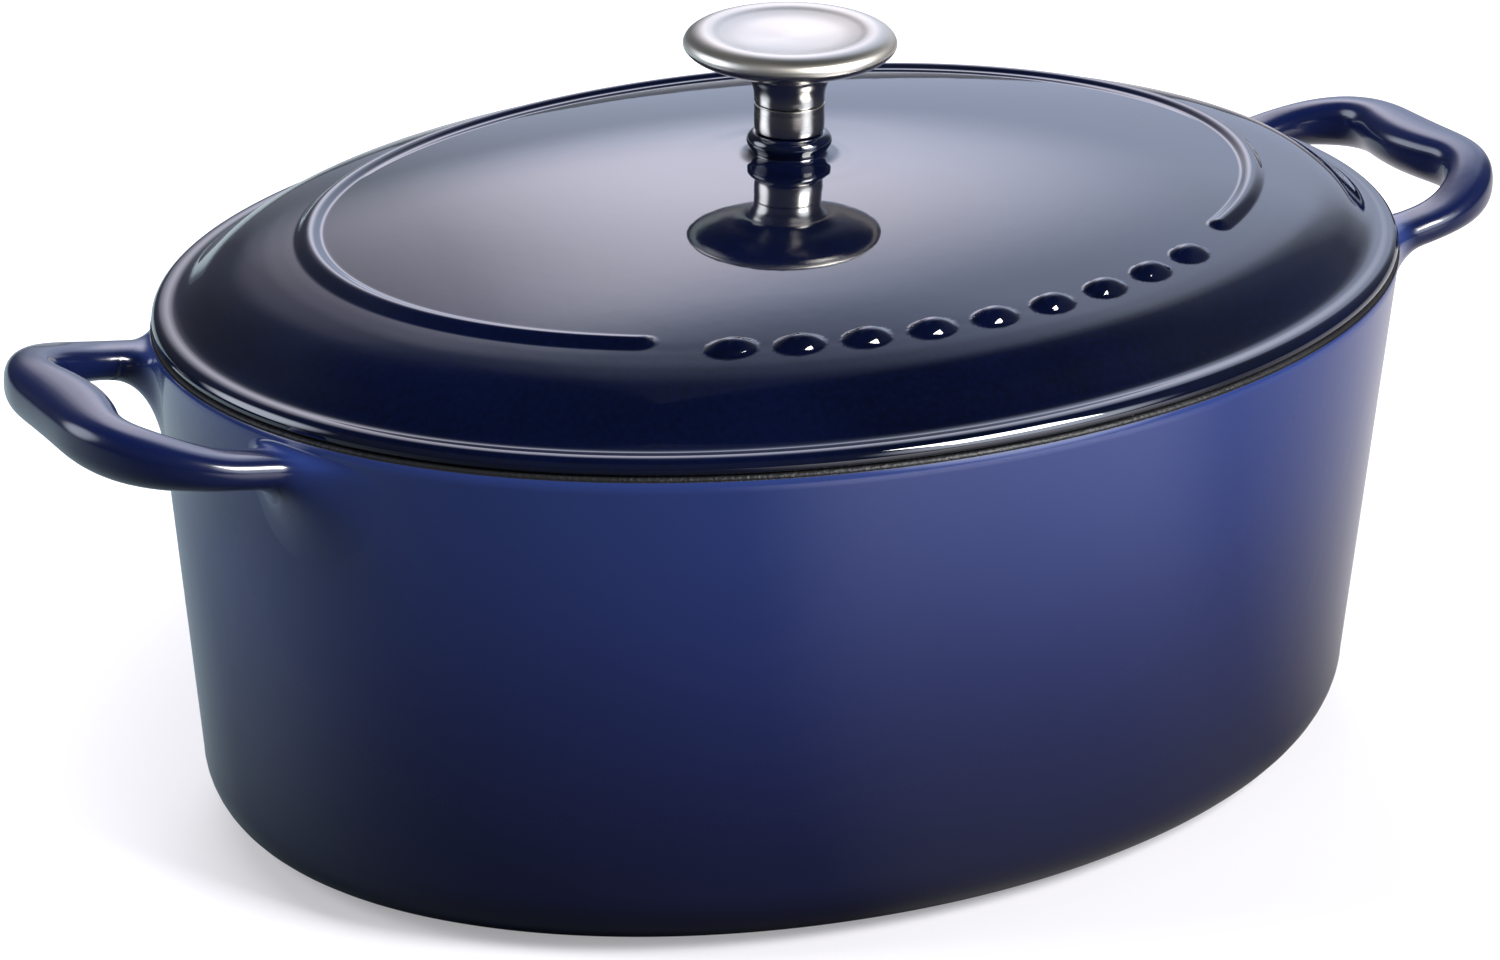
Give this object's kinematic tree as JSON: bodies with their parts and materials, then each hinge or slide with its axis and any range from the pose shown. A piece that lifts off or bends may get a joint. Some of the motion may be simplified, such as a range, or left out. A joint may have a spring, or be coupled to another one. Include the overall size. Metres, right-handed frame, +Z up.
{
  "type": "cast iron dutch oven",
  "caption": "Oval enamelled cast iron pot with side loop handles and a domed lift-off lid carrying a steel knob.",
  "frame": {"origin": "on the floor under the middle of the pot's flat base", "axes": "+Z up, +X towards one side handle, +Y across the pot, with the lid's row of raised pips on the -Y side"},
  "size_m": [0.3948, 0.2476, 0.1868],
  "materials": {
    "pot_enamel": "gloss enamel, cobalt at the rim falling to navy at the base, matte black rim",
    "lid_enamel": "gloss navy enamel",
    "brushed_steel": "satin brushed",
    "zinc_steel": "bright zinc plated",
    "insert_brass": "turned"
  },
  "bodies": {
    "pot": {"pot_body": "pot_enamel"},
    "lid": {"lid_casting": "lid_enamel", "knob_cap": "brushed_steel", "knob_sleeve": "brushed_steel", "knob_insert": "insert_brass", "knob_screw": "zinc_steel", "flat_washer": "zinc_steel", "lock_washer": "zinc_steel"}
  },
  "joints": [
    {"name": "lid_lift", "type": "slide", "parent": "pot", "child": "lid", "axis": [0, 0, 1], "range_m": [0, 0.08]}
  ]
}
